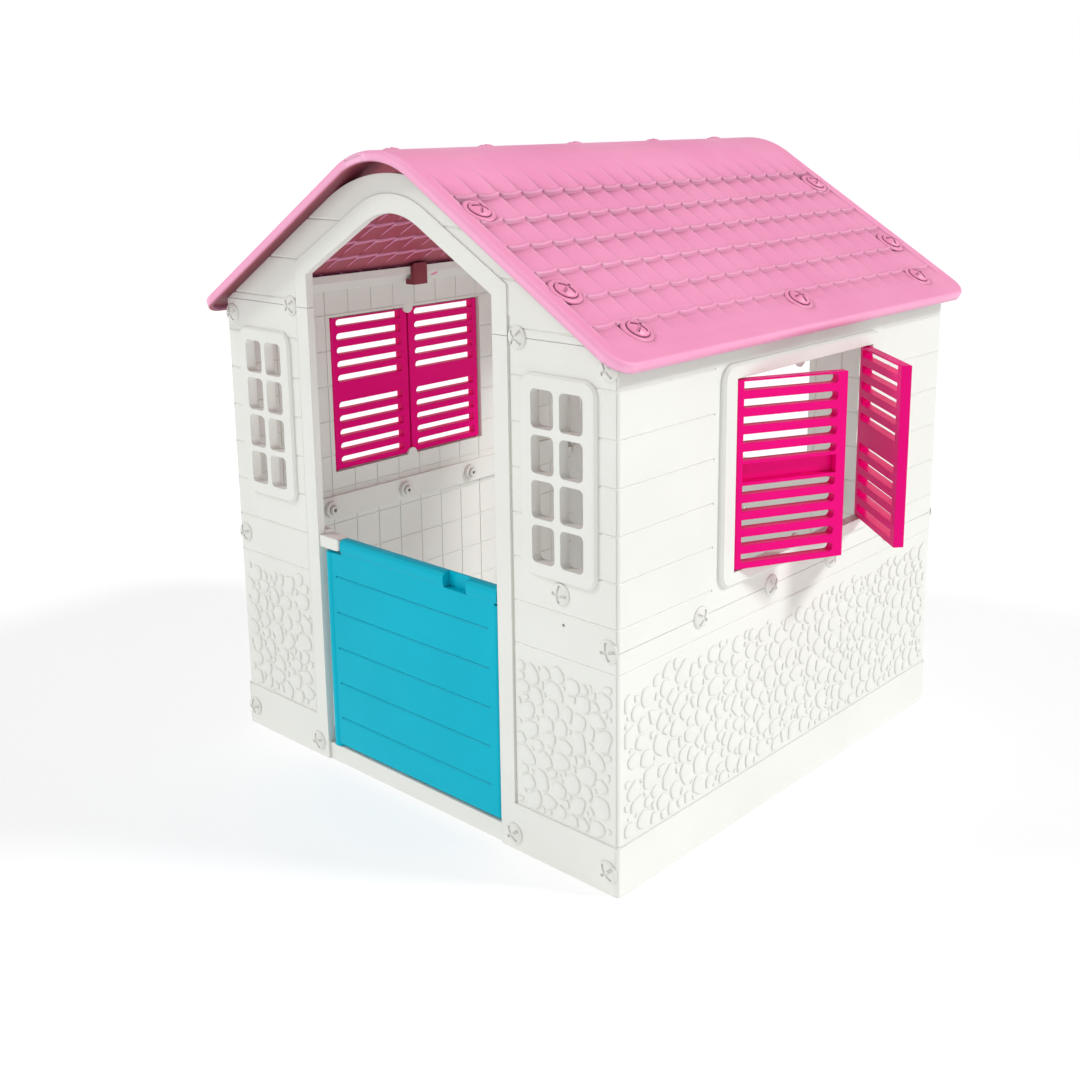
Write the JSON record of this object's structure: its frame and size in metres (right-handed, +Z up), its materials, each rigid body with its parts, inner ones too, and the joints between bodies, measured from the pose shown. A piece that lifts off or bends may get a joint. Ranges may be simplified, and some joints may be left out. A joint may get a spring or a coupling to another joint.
{
  "type": "plastic playhouse",
  "caption": "Child's bolt-together plastic playhouse with a pitched roof, a doorway with a hinged half door, pane windows and hinged louvred shutters.",
  "frame": {"origin": "middle of the underside of the front doorway's threshold, on the floor", "axes": "+Z up, +Y from the front doorway towards the back wall, +X to the right seen from the front"},
  "size_m": [1.0474, 0.964, 1.0362],
  "materials": {
    "wall_plastic": "off-white moulded plastic, satin, fine grain",
    "bolt_plastic": "off-white moulded plastic, satin",
    "roof_plastic": "pink moulded plastic, satin, tile relief",
    "door_plastic": "cyan-blue moulded plastic, satin",
    "shutter_plastic": "magenta moulded plastic, satin"
  },
  "bodies": {
    "house": {"front_left_panel": "wall_plastic", "front_right_panel": "wall_plastic", "front_gable_panel": "wall_plastic", "front_threshold": "wall_plastic", "door_upper_bracket": "wall_plastic", "back_left_panel": "wall_plastic", "back_right_panel": "wall_plastic", "back_gable_panel": "wall_plastic", "back_half_wall": "wall_plastic", "left_lower_panel": "wall_plastic", "left_upper_panel": "wall_plastic", "right_lower_panel": "wall_plastic", "right_upper_panel": "wall_plastic", "front_bolts": "bolt_plastic", "back_bolts": "bolt_plastic", "left_seam_bolts": "bolt_plastic", "right_seam_bolts": "bolt_plastic", "front_nuts": "bolt_plastic", "back_nuts": "bolt_plastic", "left_seam_nuts": "bolt_plastic", "right_seam_nuts": "bolt_plastic", "roof_left_bolts": "roof_plastic", "roof_right_bolts": "roof_plastic", "ridge_bolts": "roof_plastic", "roof_left_panel": "roof_plastic", "roof_right_panel": "roof_plastic", "roof_clips": "roof_plastic"},
    "door": {"front_door": "door_plastic"},
    "right_front_shutter": {"right_front_shutter": "shutter_plastic"},
    "right_back_shutter": {"right_back_shutter": "shutter_plastic"},
    "left_front_shutter": {"left_front_shutter": "shutter_plastic"},
    "left_back_shutter": {"left_back_shutter": "shutter_plastic"}
  },
  "joints": [
    {"name": "door_hinge", "type": "hinge", "parent": "house", "child": "door", "pos_m": [-0.188, -0.008, 0.2], "axis": [0, 0, -1], "range_deg": [0, 110]},
    {"name": "right_front_shutter_hinge", "type": "hinge", "parent": "house", "child": "right_front_shutter", "pos_m": [0.4355, 0.248, 0.563], "axis": [0, 0, -1], "range_deg": [-27, 68]},
    {"name": "right_back_shutter_hinge", "type": "hinge", "parent": "house", "child": "right_back_shutter", "pos_m": [0.4355, 0.614, 0.563], "axis": [0, 0, 1], "range_deg": [-49, 46]},
    {"name": "left_front_shutter_hinge", "type": "hinge", "parent": "house", "child": "left_front_shutter", "pos_m": [-0.4355, 0.2, 0.577], "axis": [0, 0, 1], "range_deg": [0, 95]},
    {"name": "left_back_shutter_hinge", "type": "hinge", "parent": "house", "child": "left_back_shutter", "pos_m": [-0.4355, 0.566, 0.577], "axis": [0, 0, -1], "range_deg": [0, 95]}
  ]
}
